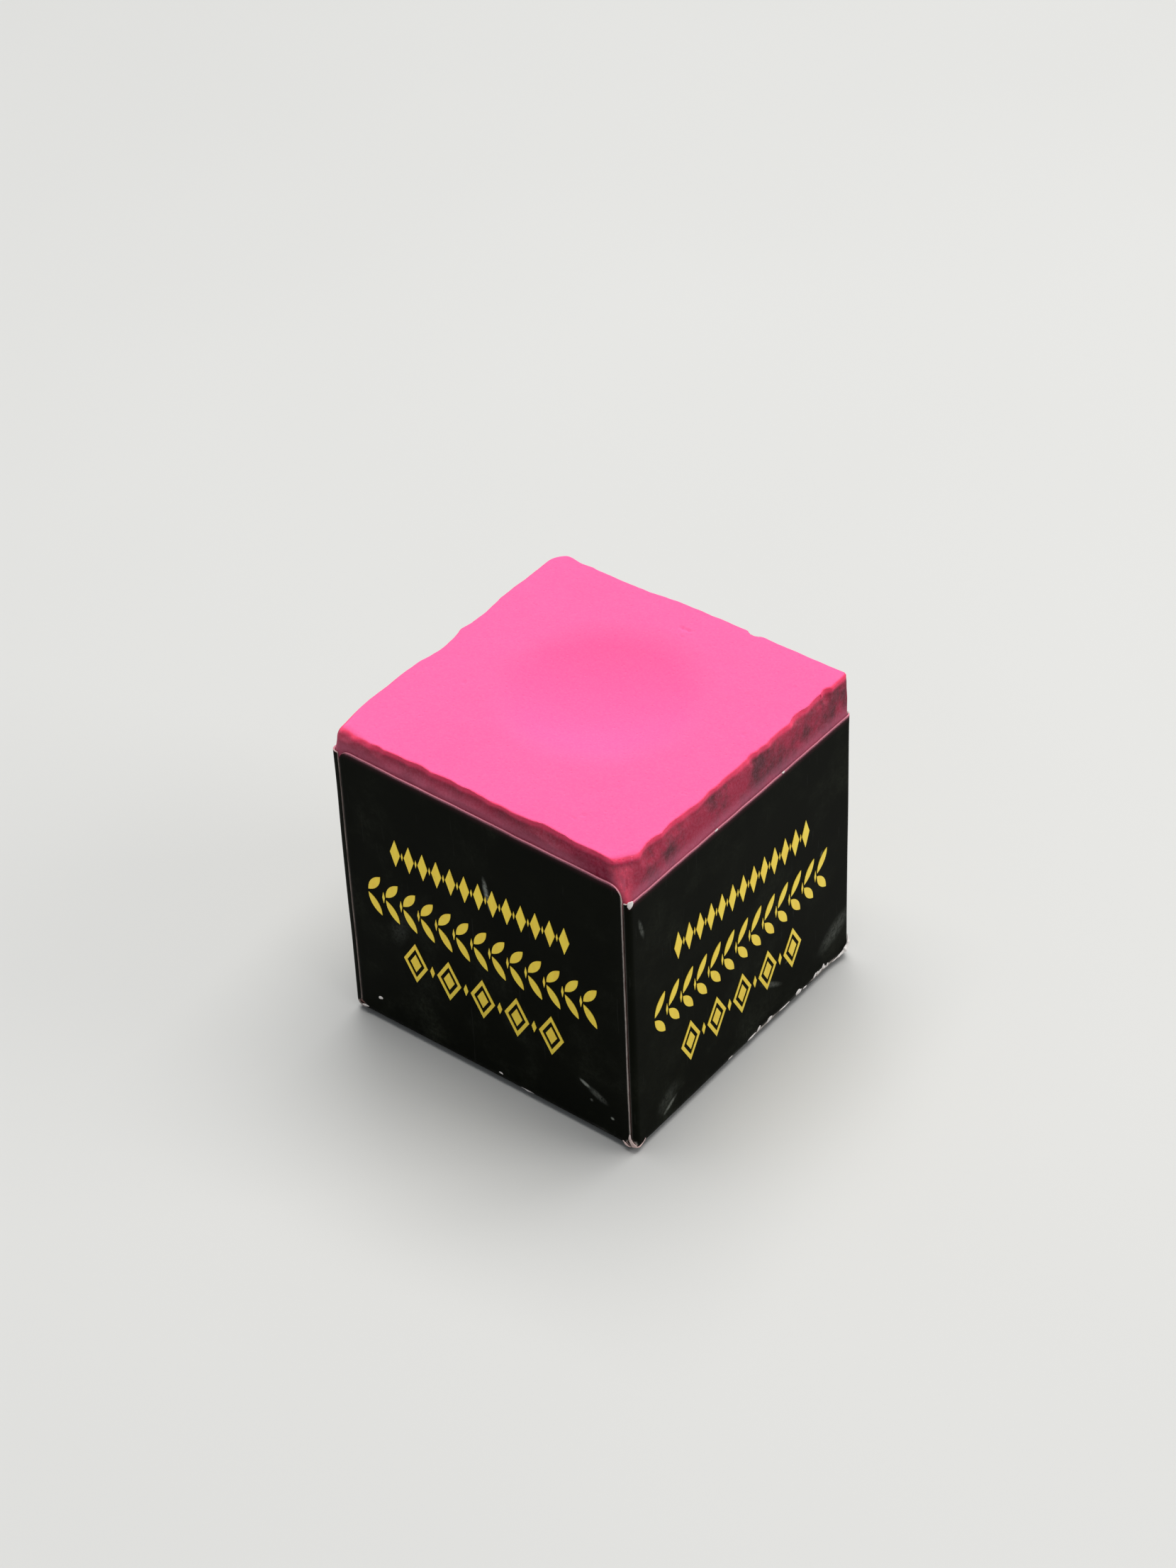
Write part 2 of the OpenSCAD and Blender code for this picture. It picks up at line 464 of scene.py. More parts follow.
def scuff_mask(n, side, share_u, share_z, length, width, lean, strength):
    """A soft ellipse on one side of the label, as a node output."""
    tilt = math.radians(lean)
    lengthwise = ALONG[side] * math.cos(tilt) + UP * math.sin(tilt)
    frame_axes = Matrix((lengthwise, np.cross(OUTWARD[side], lengthwise), OUTWARD[side])).transposed()
    mapping = n.add("ShaderNodeMapping", vector_type="TEXTURE")
    n.feed(mapping.inputs["Vector"], n.place)
    mapping.inputs["Location"].default_value = place_on_label(side, share_u, share_z)
    mapping.inputs["Rotation"].default_value = frame_axes.to_euler()
    mapping.inputs["Scale"].default_value = (length / 2 * MM, width / 2 * MM, MM)
    size = n.add("ShaderNodeVectorMath", operation="LENGTH")
    n.feed(size.inputs[0], mapping.outputs["Vector"])
    return n.band(size.outputs["Value"], 0.3, 1.5, strength, 0.0)


def coated_paper_material():
    """Black coated paper: faint smudges, scuffs and hairlines, white fibres where the coat is worn."""
    n = Nodes("coated_paper")
    smear = n.noise(3.5 * MM, detail=6, roughness=0.6)
    fine = n.noise(0.3 * MM, detail=4, roughness=0.8)
    along = n.noise(0.45 * MM, detail=5, roughness=0.7, stretch=(0.4, 0.4, 1.5))
    hairline = n.band(n.noise(0.12 * MM, detail=1, stretch=(1, 1, 0.04)), 0.72, 0.78)
    black = n.mix(smear, colour(0.0016, 0.002, 0.001), colour(0.0042, 0.0052, 0.0022))
    cloud = n.times(n.band(smear, 0.45, 0.75), n.band(fine, 0.3, 0.8))
    dust = n.times(cloud, n.stored("dust"))
    dusty = n.mix(n.times(dust, 0.3), black, colour(0.13, 0.14, 0.11))
    scratched = n.mix(n.times(hairline, 0.035), dusty, colour(0.3, 0.3, 0.28))
    scuff = 0.0
    for mark in SCUFFS:
        scuff = n.math("MAXIMUM", scuff_mask(n, *mark), scuff)
    scuffed = n.times(scuff, n.band(fine, 0.25, 0.65))
    marked = n.mix(n.times(scuffed, 0.85), scratched, colour(0.36, 0.38, 0.34))
    pinked = n.mix(n.times(n.stored("chalk_dust"), 0.1), marked, colour(0.5, 0.12, 0.2))
    fibres = n.math("ADD", n.stored("wear"), n.times(along, 0.7))
    bare = n.band(fibres, 0.86, 1.02)
    cut = n.times(n.stored("cut_edge"), n.band(fine, 0.2, 0.6, 0.5, 1.0))
    shown = n.math("MAXIMUM", bare, cut)
    grey = n.mix(n.band(fibres, 0.6, 0.95, 0.0, 0.25), pinked, colour(0.2, 0.19, 0.18))
    clean_fibre = n.mix(fine, colour(0.35, 0.3, 0.28), colour(0.62, 0.57, 0.53))
    pink_fibre = n.mix(n.stored("chalk_dust"), clean_fibre, colour(0.62, 0.2, 0.28))
    worn = n.mix(shown, grey, pink_fibre)
    rough = n.band(n.math("ADD", dust, shown), 0.0, 0.6, 0.56, 0.9)
    relief = n.bump(fine, 0.006 * MM, 0.5)
    torn = n.bump(shown, 0.02 * MM, 0.8, below=relief)
    return n.finish(Base_Color=worn, Roughness=rough, Normal=torn, Specular_IOR_Level=0.025)


def paper_core_material():
    """Cut edge and inner side of the paper: off-white fibres, stained by handling and chalk."""
    n = Nodes("paper_core")
    fibre = n.noise(0.12 * MM, detail=4, roughness=0.7)
    stain = n.band(n.noise(1.5 * MM, detail=4), 0.4, 0.75)
    clean = n.mix(fibre, colour(0.42, 0.35, 0.32), colour(0.66, 0.58, 0.54))
    soiled = n.mix(stain, clean, colour(0.26, 0.2, 0.185))
    chalky = n.mix(n.times(n.stored("chalk_dust"), 0.9), soiled, colour(0.72, 0.24, 0.33))
    return n.finish(
        Specular_IOR_Level=0.2,
        Base_Color=chalky,
        Roughness=n.band(fibre, 0.2, 0.8, 0.8, 0.95),
        Normal=n.bump(fibre, 0.01 * MM, 0.7),
    )


def torn_fibre_material():
    """Torn paper fibres standing on the label: white, a little soiled."""
    n = Nodes("torn_fibre")
    fibre = n.noise(0.07 * MM, detail=4, roughness=0.7)
    soil = n.band(n.noise(0.6 * MM, detail=4), 0.45, 0.8)
    white = n.mix(fibre, colour(0.8, 0.75, 0.72), colour(1.0, 0.95, 0.93))
    clean = n.mix(n.times(n.stored("pink"), 0.8), white, colour(0.9, 0.55, 0.5))
    return n.finish(
        Specular_IOR_Level=0.2,
        Base_Color=n.mix(n.times(soil, 0.5), clean, colour(0.22, 0.18, 0.17)),
        Roughness=n.band(fibre, 0.2, 0.8, 0.8, 0.95),
        Normal=n.bump(fibre, 0.015 * MM, 0.8),
    )


def gold_foil_material():
    """Hot-stamped gold foil: satin metal with fine streaks and small dull rubs."""
    n = Nodes("gold_foil")
    streak = n.noise(0.3 * MM, detail=4, stretch=(1, 1, 0.2))
    tone = n.noise(1.8 * MM, detail=3)
    rub = n.band(n.noise(0.9 * MM, detail=5, roughness=0.7), 0.58, 0.78)
    grain = n.noise(0.08 * MM, detail=2)
    metal = n.mix(tone, colour(1.0, 0.7, 0.035), colour(1.0, 0.82, 0.08))
    streaked = n.mix(n.band(streak, 0.35, 0.8, 0.0, 0.5), metal, colour(0.95, 0.6, 0.05))
    dulled = n.mix(n.times(rub, 0.3), streaked, colour(0.6, 0.42, 0.08))
    return n.finish(
        Metallic=0.5,
        Base_Color=dulled,
        Roughness=n.band(n.math("ADD", streak, rub), 0.3, 1.5, 0.34, 0.6),
        Normal=n.bump(grain, 0.004 * MM, 0.5, below=n.bump(streak, 0.01 * MM, 0.5)),
    )


def glue_material():
    """Dried glue: brown, glossy in places, stained by the chalk behind it."""
    n = Nodes("dried_glue")
    flow = n.noise(0.8 * MM, detail=4)
    grit = n.noise(0.1 * MM, detail=3)
    base = n.mix(flow, colour(0.1, 0.035, 0.03), colour(0.2, 0.09, 0.07))
    return n.finish(
        Base_Color=n.mix(n.band(grit, 0.5, 0.8, 0.0, 0.4), base, colour(0.45, 0.1, 0.14)),
        Roughness=n.band(flow, 0.3, 0.7, 0.35, 0.7),
        Normal=n.bump(grit, 0.01 * MM, 0.5),
    )


def floor_material():
    """Plain pale matte floor."""
    n = Nodes("floor")
    tone = n.noise(60 * MM, detail=2)
    pale = n.mix(tone, colour(0.55, 0.55, 0.54), colour(0.58, 0.58, 0.57))
    return n.finish(Base_Color=pale, Roughness=0.75)


# ---------------------------------------------------------------- chalk block

# Radius in plan of each worn upper corner, by the signs of its X and Y
WORN_CORNERS = {(-1, -1): 0.3 * MM, (1, -1): 0.4 * MM, (1, 1): 1.45 * MM, (-1, 1): 0.7 * MM}
WORN_HEIGHT = 2 * MM
# Mean radius of the block's top edges, how much it wanders, and how much rounder the left corner is
TOP_EDGE_R = 0.2 * MM
TOP_EDGE_WANDER = 0.07 * MM
LEFT_CORNER_EXTRA = 0.7 * MM
# The break across the near corner: degrees round from the front and above the level, and its depth
BREAK_ROUND = -36
BREAK_LIFT = 17
BREAK_DEPTH = 0.95 * MM
# The painted highlight down the break, a wedge: how far below the top it would end in a point, and its
# least width as a share of its width at the top
WEDGE_LENGTH = 4.5 * MM
WEDGE_LEAST = 0.3
# How many pits the top has, and how many of them lie in one cluster
PIT_COUNT = 20
CLUSTERED_PITS = 5
# Lengths over which the dish's brim, the break and each flake are rounded into the surface round them
DISH_BLEND = 0.35 * MM
BREAK_BLEND = 0.3 * MM
FLAKE_BLEND = 0.1 * MM
# How far below the top the wear reaches, and how far below it the mesh is fine
WEAR_DEPTH = 5 * MM
FINE_DEPTH = 4.5 * MM
# The block's mesh: columns on each side, rows of points on the rim of the base, up the bottom edge, up
# the plain part of the sides and up their worn part, and how strongly the last crowd upwards
CHALK_COLUMNS = 181
BASE_RIM = 1.2 * MM
BASE_ROWS = 8
EDGE_ROWS = 7
PLAIN_ROWS = 14
WORN_ROWS = 56
CROWDING = 1.3


def scar(side, u, length, depth, drop, hollow):
    """An elongated ball that takes a flake off a side's top edge.

    The flake is length long and reaches depth in across the top and drop down the side. The
    ball's radius is hollow times the distance between those two reaches.
    """
    chord = math.hypot(depth, drop)
    radius = hollow * chord
    off = math.sqrt(radius**2 - chord**2 / 4)
    outward = off * drop / chord - depth / 2
    upward = off * depth / chord - drop / 2
    stretch = length / 2 / math.sqrt(radius**2 - outward**2 - upward**2)
    centre = OUTWARD[side] * (BLOCK_HALF + outward) + ALONG[side] * u + UP * (CUBE_TOP + upward)
    return centre, ALONG[side], radius, stretch


def random_scars(side, pitch, depth, drop, seed):
    """Flakes of varied size all along one top edge."""
    draw = np.random.default_rng(seed)
    u = -BLOCK_HALF
    while u < BLOCK_HALF:
        length = pitch * draw.uniform(0.5, 1.5)
        strength = draw.uniform(0.25, 1)
        reach = drop * draw.uniform(0.5, 1)
        yield scar(side, u + length / 2, length, depth * strength, reach, draw.uniform(0.9, 2))
        u += length * draw.uniform(0.6, 1)


def chalk_scars():
    """Every flake that has come off the block's top edges."""
    scars = [
        # Two long dips in the back edge
        scar(BACK, 0.9 * MM, 4.6 * MM, 0.42 * MM, 1.1 * MM, 2),
        scar(BACK, -2.7 * MM, 4.6 * MM, 0.3 * MM, 0.9 * MM, 2),
        # A notch in the right edge, which then leans in towards the back
        scar(RIGHT, -4.1 * MM, 1.2 * MM, 0.33 * MM, 0.5 * MM, 0.8),
        scar(RIGHT, 7 * MM, 12 * MM, 0.42 * MM, 1.4 * MM, 4),
        # A chip in the left edge, and dips in the front edge next to the broken corner
        scar(LEFT, 5.2 * MM, 3.2 * MM, 0.32 * MM, 0.8 * MM, 1.2),
        scar(FRONT, -8.4 * MM, 2.6 * MM, 0.36 * MM, 1.3 * MM, 1.1),
        scar(FRONT, -6.2 * MM, 2.4 * MM, 0.3 * MM, 0.9 * MM, 1),
    ]
    scars += random_scars(FRONT, 2 * MM, 0.34 * MM, 1.2 * MM, 11)
    scars += random_scars(LEFT, 2.3 * MM, 0.3 * MM, 1.2 * MM, 12)
    scars += random_scars(BACK, 4 * MM, 0.1 * MM, 0.7 * MM, 13)
    scars += random_scars(RIGHT, 2.6 * MM, 0.08 * MM, 0.5 * MM, 14)
    return scars


def chalk_pits():
    """Small holes in the top, most of them near the right edge: (centre, radius) of each."""
    draw = np.random.default_rng(21)
    cluster = np.array((8.3, -0.4, 0)) * MM
    for n in range(PIT_COUNT):
        clustered = n < CLUSTERED_PITS
        reach, largest = (0.5, 0.17) if clustered else (9.5, 0.11)
        place = draw.uniform(-1, 1, 3) * reach * MM + cluster * clustered
        radius = draw.uniform(0.07, largest) * MM
        place[2] = CUBE_TOP + radius * 0.3
        yield place, radius


def from_corner(p):
    """How far points lie outward from, to the right of and below the near top corner, facing its break."""
    turn = math.radians(BREAK_ROUND)
    level = OUTWARD[FRONT] * math.cos(turn) + ALONG[FRONT] * math.sin(turn)
    rightward = ALONG[FRONT] * math.cos(turn) - OUTWARD[FRONT] * math.sin(turn)
    away = p - (OUTWARD[FRONT] + OUTWARD[LEFT]) * BLOCK_HALF - UP * CUBE_TOP
    return away @ level, away @ rightward, -away[:, 2]


def corner_break(p):
    """Distance outside the rough flat break across the near corner, which narrows down to the label."""
    lift = math.radians(BREAK_LIFT)
    outward, _, drop = from_corner(p)
    rough = 0.06 * MM * layered_noise(p * (1, 1, 0.4), 0.7 * MM, 33, 3)
    return outward * math.cos(lift) - drop * math.sin(lift) + BREAK_DEPTH + rough


def corner_marks(p):
    """How dark the break is painted at each point, as painted shade in a band like a crack beside its
    middle and in a small hollow under the rim, and how bright the painted highlight on the wedge down its
    middle is.
    """
    _, rightward, drop = from_corner(p)
    narrowing = np.clip(1 - drop / WEDGE_LENGTH, WEDGE_LEAST, 1)
    patchy = layered_noise(p, 0.8 * MM, 35, 2)
    from_wedge = rightward / narrowing + 0.1 * MM + 0.16 * MM * patchy
    on_break = 1 - ramp(-corner_break(p), 0.15 * MM, 0.5 * MM)
    crack_shade = (1 - ramp(from_wedge, -1.1 * MM, -0.5 * MM)) * ramp(from_wedge, -4 * MM, -1.6 * MM)
    hollow_shade = bump_at(drop, 0.35 * MM, 0.22 * MM) * bump_at(from_wedge, 0, MM) * ramp(patchy, -0.2, 0.3)
    dark = np.maximum(crack_shade * (1 - 0.4 * ramp(drop, 1.5 * MM, 3.5 * MM)), hollow_shade)
    break_highlight = bump_at(from_wedge, 0, 0.85 * MM) * ramp(drop, 0.3 * MM, 0.8 * MM) * on_break
    return dark, break_highlight


def worn_radii(p):
    """Radii of the block's upright and top edges at each point."""
    height = ramp(p[:, 2], CUBE_TOP - WORN_HEIGHT, CUBE_TOP - 0.3 * WORN_HEIGHT)
    upright = np.full(len(p), UPRIGHT_EDGE_R)
    for (x, y), radius in WORN_CORNERS.items():
        here = (p[:, 0] * x > 0) & (p[:, 1] * y > 0)
        upright[here] += (radius - UPRIGHT_EDGE_R) * height[here]
    top = TOP_EDGE_R + TOP_EDGE_WANDER * layered_noise(p, 2 * MM, 34, 2)
    left_corner = OUTWARD[LEFT] * BLOCK_HALF + OUTWARD[BACK] * BLOCK_HALF + UP * CUBE_TOP
    top += LEFT_CORNER_EXTRA * near(p, left_corner, 2 * MM)
    return upright, top


def chalk_distance(scars):
    """The function that measures the distance outside the worn block."""
    depth = CUBE_TOP - DISH_CENTRE[2]
    ball_r = (DISH_R**2 + depth**2) / (2 * depth)
    ball = DISH_CENTRE + UP * ball_r

    def distance(p):
        upright, top = worn_radii(p)
        d = box_distance(p, BLOCK_HALF, BLOCK_BASE, CUBE_TOP, upright, BOTTOM_EDGE_R, top)
        d = smooth_max(d, ball_r - np.linalg.norm(p - ball, axis=1), DISH_BLEND)
        near_top = p[:, 2] > CUBE_TOP - WEAR_DEPTH
        q = p[near_top]
        worn = smooth_max(d[near_top], corner_break(q), BREAK_BLEND)
        ragged = 0.05 * MM * layered_noise(q, 0.9 * MM, 31, 3)
        for centre, along, radius, stretch in scars:
            away = q - centre
            lengthwise = away @ along
            crosswise = (away**2).sum(axis=1) - lengthwise**2
            flake = radius + ragged - np.sqrt(crosswise + (lengthwise / stretch) ** 2)
            worn = smooth_max(worn, flake, FLAKE_BLEND)
        d[near_top] = worn + 0.015 * MM * layered_noise(q, 2.5 * MM, 32, 3)
        return d

    return distance


def top_rim(p, distance):
    """1 on the brim of the top, where it begins to turn down into a side or a flake; the chalk is painted
    in shade there.
    """
    rim = np.zeros(len(p))
    high = p[:, 2] > CUBE_TOP - 0.6 * MM
    upward = surface_normals(p[high], distance, 0.28 * MM)[:, 2]
    rim[high] = ramp(1 - upward, 0.05, 0.3) * ramp(p[high][:, 2], CUBE_TOP - 0.5 * MM, CUBE_TOP - 0.2 * MM)
    return rim


def build_chalk():
    """The chalk block, with its dish, chipped edges, broken corners and pits."""
    us = edge_dense(BLOCK_HALF, CHALK_COLUMNS)
    plan, _ = ring_of_sides([us] * 4)
    count = len(plan)
    heights = np.concatenate(
        (
            np.linspace(BLOCK_BASE, BLOCK_BASE + BOTTOM_EDGE_R, EDGE_ROWS)[:-1],
            np.linspace(BLOCK_BASE + BOTTOM_EDGE_R, CUBE_TOP - FINE_DEPTH, PLAIN_ROWS)[:-1],
            CUBE_TOP - FINE_DEPTH * (1 - np.linspace(0, 1, WORN_ROWS)) ** CROWDING,
        )
    )
    insets = np.linspace(BASE_RIM, 0, BASE_ROWS)[:-1]
    rows = [plan * (1 - inset / BLOCK_HALF) + UP * BLOCK_BASE for inset in insets]
    rows += [plan + UP * z for z in heights]
    points = np.concatenate(rows)
    faces = [tuple(reversed(range(count)))]
    for row in range(len(rows) - 1):
        faces += ring_faces(row * count, (row + 1) * count, count)
    first = len(points)
    size = len(us)
    grid_x, grid_y = np.meshgrid(us, us)
    top = np.stack((grid_x.ravel(), grid_y.ravel(), np.full(size * size, CUBE_TOP)), axis=1)
    points = np.concatenate((points, top))
    for j, i in itertools.product(range(size - 1), repeat=2):
        corner = first + j * size + i
        faces.append((corner, corner + 1, corner + size + 1, corner + size))
    made = mesh_object("chalk", points, faces, [chalk_material()])
    weld(made, TOUCHING)
    distance = chalk_distance(chalk_scars())
    worn = settle(points_of(made), distance, 6)
    for centre, radius in chalk_pits():
        away = np.linalg.norm(worn - centre, axis=1)
        worn[:, 2] -= np.where(away < radius, np.sqrt(np.maximum(radius**2 - away**2, 0)), 0)
    move_points(made, worn)
    from_dish = np.hypot(*(worn - DISH_CENTRE).T[:2])
    # Where the material paints the dish's shade.
    store(made, "dish", 1 - ramp(from_dish, 0.8 * DISH_R, 1.1 * DISH_R))
    # Painted shade and a painted highlight on the break.
    dark, break_highlight = corner_marks(worn)
    store(made, "break_shade", dark)
    store(made, "break_highlight", break_highlight)
    # Where the material paints shade on the brim.
    store(made, "rim", top_rim(worn, distance))
    on_front = ramp(-worn[:, 1], 0.8 * BLOCK_HALF, BLOCK_HALF)
    store(made, "grime", 0.35 + 0.65 * on_front)
    store(made, "powder", 1 - ramp(height_over_label(worn), 0, 1.1 * MM))
    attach(made, "root")
    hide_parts("chalk_block")


# ---------------------------------------------------------------- paper label

# Y of the joints on the left and right sides, where the front and back flaps wrap round and end
FRONT_JOINT = FRONT_WRAP - LABEL_HALF
BACK_JOINT = LABEL_HALF - BACK_WRAP
# The small round hole at the foot of each joint, where the sheet's inner corners meet
FOOT_R = 0.3 * MM
FOOT_Z = 0.65 * MM
FOLD = BOTTOM_EDGE_R + SKIN_T
# A crushed place on the front fold, near its right end
CRUMPLE = np.array((0.71 * LABEL_HALF, -LABEL_HALF, 0.5 * MM))
CRUMPLE_REACH = 0.6 * MM
# How far the side flaps lift at the joints beside the front and the back flap
FRONT_LIFT = 0.07 * MM
BACK_LIFT = 0.025 * MM
# Heights of the label's slow waves, of its uneven top edge and of its crumples
WAVE = 0.02 * MM
RUFFLE = 0.03 * MM
FOOT_CRUMPLE = 0.05 * MM
FOLD_CRUMPLE = 0.09 * MM
# Worn lower corners of the label: the signs of X and Y, the reach in millimetres and the strength
WORN_FEET = [(1, -1, 1.1, 0.75), (-1, 1, 0.8, 0.5), (1, 1, 0.9, 0.6)]
# The label's mesh: columns on each side, how far in from the sides the rings of points on the base
# lie, and the rows of points up the fold and up the flaps
LABEL_COLUMNS = 141
BASE_INSETS = np.array((9, 6, 4, 2.5, 1.6, 1.2, 0.9, 0.7, 0.5, 0.3, 0.15)) * MM
FOLD_ROWS = 18
FLAP_ROWS = 110


def label_distance(p):
    """Distance outside the label's ideal outer surface, which is open above."""
    return box_distance(p, LABEL_HALF, 0, 2 * CUBE_TOP, UPRIGHT_EDGE_R + SKIN_T, FOLD, MM)


def joint_feet():
    """The foot of each of the four joints."""
    return [np.array((x * LABEL_HALF, y, FOOT_Z)) for x in (-1, 1) for y in (FRONT_JOINT, BACK_JOINT)]


def label_swell(p):
    """How far the paper stands off its ideal surface.

    It has slow waves, its side flaps lift a little at the joints, its top edge is uneven, and it
    is crumpled round the foot of each joint and where the front fold was crushed.
    """
    swell = WAVE * layered_noise(p, 6 * MM, 41, 2)
    on_side = ramp(np.abs(p[:, 0]), 0.9 * LABEL_HALF, LABEL_HALF)
    for inward, lifted in ((p[:, 1] - FRONT_JOINT, FRONT_LIFT), (BACK_JOINT - p[:, 1], BACK_LIFT)):
        lift = np.where(inward > 0, lifted, 0.01 * MM) * bump_at(inward, 0, 0.45 * MM)
        swell += lift * on_side * (0.7 + 0.5 * smooth_noise(p, 2.5 * MM, 43))
    swell += RUFFLE * bump_at(height_over_label(p), 0, 0.5 * MM) * smooth_noise(p, 1.7 * MM, 45)
    for foot in joint_feet():
        swell += FOOT_CRUMPLE * near(p, foot, 0.45 * MM) * (0.5 + layered_noise(p, 0.5 * MM, 44, 2))
    swell += FOLD_CRUMPLE * near(p, CRUMPLE, CRUMPLE_REACH) * layered_noise(p, 0.4 * MM, 47, 2)
    return swell


def label_columns():
    """The u of every column of points on each side, with columns on both edges of each joint."""
    plain = edge_dense(LABEL_HALF, LABEL_COLUMNS)
    joints = {RIGHT: (FRONT_JOINT, BACK_JOINT), LEFT: (-BACK_JOINT, -FRONT_JOINT)}
    sides = []
    for side in range(4):
        us = plain.copy()
        for centre in joints.get(side, ()):
            first = np.argmin(np.abs(us - centre + JOINT_W / 2))
            us[first] = centre - JOINT_W / 2
            us[first + 1] = centre + JOINT_W / 2
        sides.append(us)
    return sides, joints


def column_tops(plan, sides, joints):
    """Height of the paper at each column."""
    tops = np.zeros(len(plan))
    for i, (point, side) in enumerate(zip(plan, sides)):
        u = point @ ALONG[side]
        owner = side
        if side in joints:
            low, high = joints[side]
            if u < low:
                owner = FRONT if side == RIGHT else BACK
            elif u > high:
                owner = BACK if side == RIGHT else FRONT
        height, rise = FLAP_LINES[owner]
        tops[i] = height + rise * (point @ ALONG[owner])
        if owner == side and side in joints:
            inside = min(u - low, high - u) - JOINT_W / 2
            miss = max(FLAP_CORNER_R - inside, 0)
            tops[i] -= FLAP_CORNER_R - math.sqrt(max(FLAP_CORNER_R**2 - miss**2, 0))
    return tops + 0.025 * MM * layered_noise(plan, 1.5 * MM, 46, 3)


def widen_feet(row, sides, joints):
    """Moves one row's points away from each joint where it widens into the hole at its foot."""
    hole = math.sqrt(max(FOOT_R**2 - (row[0, 2] - FOOT_Z) ** 2, 0))
    for side, centres in joints.items():
        here = sides == side
        u = row[here] @ ALONG[side]
        for centre in centres:
            away = u - centre
            to_corner = LABEL_HALF - abs(centre)
            reach = np.where(away * centre > 0, to_corner, 5 * FOOT_R)
            share = np.clip(1 - (np.abs(away) - JOINT_W / 2) / (reach - JOINT_W / 2), 0, 1)
            row[here] += ALONG[side] * (np.sign(away) * hole * share)[:, None]


def joint_gaps(plan, sides, side, centres):
    """The columns after which a joint opens on one side."""
    us = plan @ ALONG[side]
    for centre in centres:
        hits = np.where((sides == side) & (np.abs(us - centre + JOINT_W / 2) < TOUCHING))[0]
        yield int(hits[0])


def cut_edge(p):
    """How bare the paper is at its cut edges, within a thread's width of them."""
    on_side = ramp(np.abs(p[:, 0]), LABEL_HALF - 0.3 * MM, LABEL_HALF - 0.2 * MM)
    on_side = on_side * (p[:, 2] > FOOT_Z - FOOT_R)
    edges = [0.7 * bump_at(height_over_label(p), 0, 0.06 * MM)]
    for joint, strength in ((p[:, 1] - FRONT_JOINT, 1.0), (BACK_JOINT - p[:, 1], 0.2)):
        share = np.where(joint > 0, 1, 0.2) * strength
        beyond = np.maximum(np.abs(joint) - JOINT_W / 2, 0)
        edges.append(bump_at(beyond, 0, 0.035 * MM) * share * on_side)
    for foot in joint_feet():
        from_hole = np.maximum(np.linalg.norm(p - foot, axis=1) - FOOT_R, 0)
        edges.append((1.0 if foot[1] < 0 else 0.3) * bump_at(from_hole, 0, 0.06 * MM))
    return np.maximum.reduce(edges)


def label_wear(p):
    """Where the black coat has worn off the paper, from 0 to 1."""
    fold = bump_at(p[:, 2], 0.62 * MM, 0.32 * MM)
    on_front = ramp(-p[:, 1], LABEL_HALF - FOLD, LABEL_HALF - 0.3 * FOLD)
    on_left = ramp(-p[:, 0], LABEL_HALF - FOLD, LABEL_HALF - 0.3 * FOLD)
    along_front = 0.15 + 0.5 * ramp(p[:, 0], -4 * MM, 0) + 0.1 * ramp(p[:, 0], 5 * MM, 9 * MM)
    along_left = 0.15 + 0.2 * ramp(-p[:, 1], 3 * MM, 8 * MM)
    wear = fold * np.maximum.reduce([on_front * along_front, on_left * along_left, np.full(len(p), 0.18)])
    for x, y, reach, strength in WORN_FEET:
        corner = np.array((x * LABEL_HALF, y * LABEL_HALF, 0.2 * MM))
        wear = np.maximum(wear, strength * near(p, corner, reach * MM))
    for foot in joint_feet():
        wear = np.maximum(wear, 0.45 * near(p, foot, 0.35 * MM))
    wear = np.maximum(wear, 0.62 * near(p, CRUMPLE, CRUMPLE_REACH))
    return wear * (0.85 + 0.35 * layered_noise(p, 1.6 * MM, 51, 3))


def build_label():
    """The label as one folded sheet of real thickness, open at its four upright joints."""
    columns, joints = label_columns()
    plan, sides = ring_of_sides(columns)
    count = len(plan)
    tops = column_tops(plan, sides, joints)
    rows = [plan * (1 - inset / LABEL_HALF) for inset in BASE_INSETS]
    rows += [plan + UP * z for z in np.linspace(0, FOLD, FOLD_ROWS)]
    for row in rows:
        widen_feet(row, sides, joints)
    open_from = next(n for n, row in enumerate(rows) if row[0, 2] > FOOT_Z - FOOT_R)
    for share in np.linspace(0, 1, FLAP_ROWS + 1)[1:]:
        rows.append(plan + UP * (FOLD + (tops - FOLD) * share)[:, None])
    skip = {i for side in joints for i in joint_gaps(plan, sides, side, joints[side])}
    faces = [tuple(reversed(range(count)))]
    for row in range(len(rows) - 1):
        faces += ring_faces(row * count, (row + 1) * count, count, skip if row >= open_from else ())
    made = mesh_object(
        "label", np.concatenate(rows), faces, [coated_paper_material(), paper_core_material()]
    )
    flat = settle(points_of(made), label_distance, 5)
    swell = label_swell(flat)
    on_base = flat[:, 2] < 0.05 * MM
    swell[on_base] = np.minimum(swell[on_base], 0)
    shaped = flat + surface_normals(flat, label_distance) * swell[:, None]
    shaped[:, 2] = np.maximum(shaped[:, 2], 0)
    move_points(made, shaped)
    store(made, "chalk_dust", 1 - ramp(-height_over_label(flat), 0, 0.5 * MM))
    store(made, "cut_edge", cut_edge(flat))
    store(made, "wear", label_wear(flat))
    near_fold = 0.5 * bump_at(flat[:, 2], 1.2 * MM, 1.5 * MM)
    store(made, "dust", np.clip(0.35 + 0.5 * layered_noise(flat, 5 * MM, 52, 2) + near_fold, 0, 1))
    thickness = made.modifiers.new("thickness", "SOLIDIFY")
    thickness.thickness = PAPER_T
    thickness.offset = -1
    thickness.material_offset = 1
    thickness.material_offset_rim = 1
    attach(made, "root")
    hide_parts("paper_label")


# ---------------------------------------------------------------- torn paper fibres

